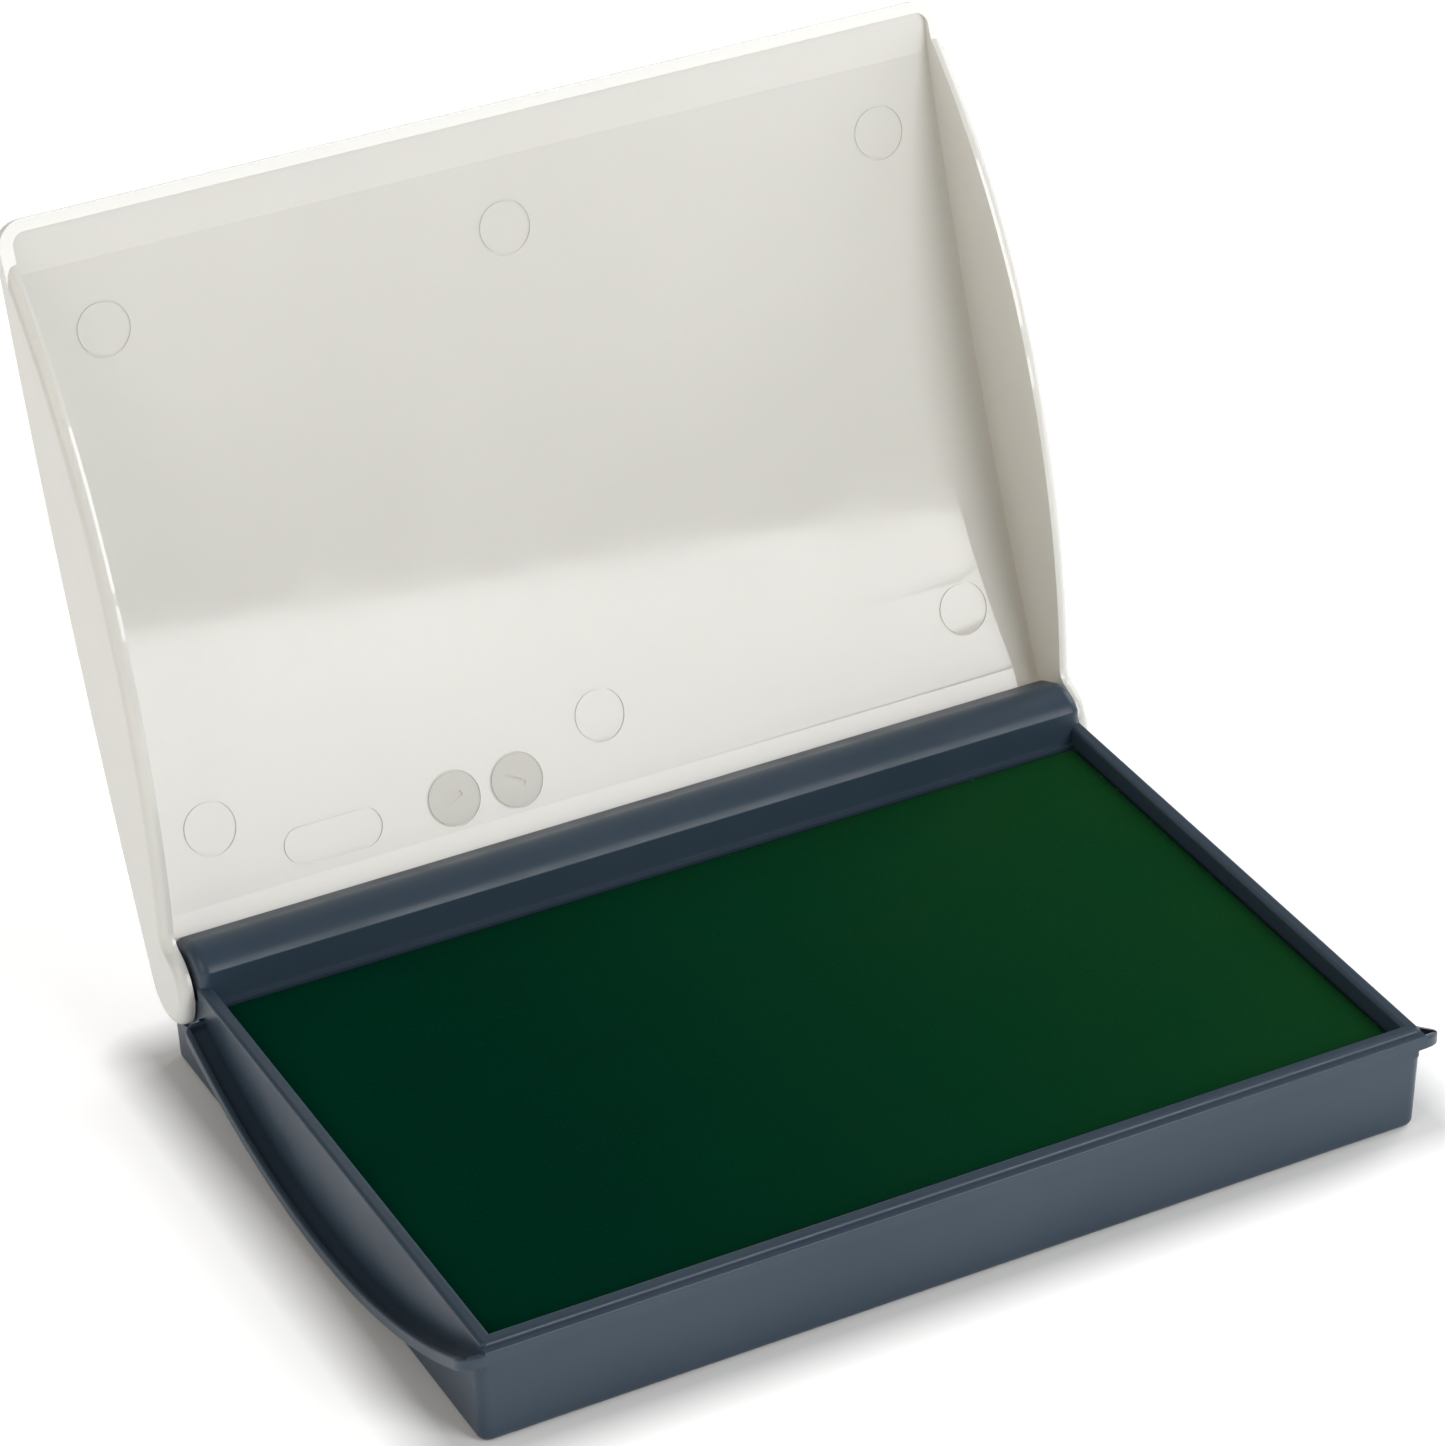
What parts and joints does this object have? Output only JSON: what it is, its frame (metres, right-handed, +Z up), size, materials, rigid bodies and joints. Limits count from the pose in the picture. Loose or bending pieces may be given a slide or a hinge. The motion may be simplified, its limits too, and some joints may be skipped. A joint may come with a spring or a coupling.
{
  "type": "stamp ink pad",
  "caption": "Stamp ink pad: moulded tray holding a cloth-covered felt pad, with a hinged lens-shaped lid that opens past upright.",
  "frame": {"origin": "middle of the tray's underside, on the plane it stands on", "axes": "+Z up, -Y towards the front edge, X along the hinge"},
  "size_m": [0.1206, 0.1154, 0.0931],
  "materials": {
    "tray": "satin",
    "lid": "gloss",
    "pad_cloth": "matte",
    "felt": "matte",
    "carrier": "matte"
  },
  "bodies": {
    "base": {"base_tray": "tray", "pad_carrier_plate": "carrier", "pad_felt_core": "felt", "pad_cloth_cover": "pad_cloth"},
    "lid": {"lid_shell": "lid"}
  },
  "joints": [
    {"name": "lid_hinge", "type": "hinge", "parent": "base", "child": "lid", "pos_m": [0, 0.0391, 0.0142], "axis": [1, 0, 0], "range_deg": [0, 112.8]}
  ]
}
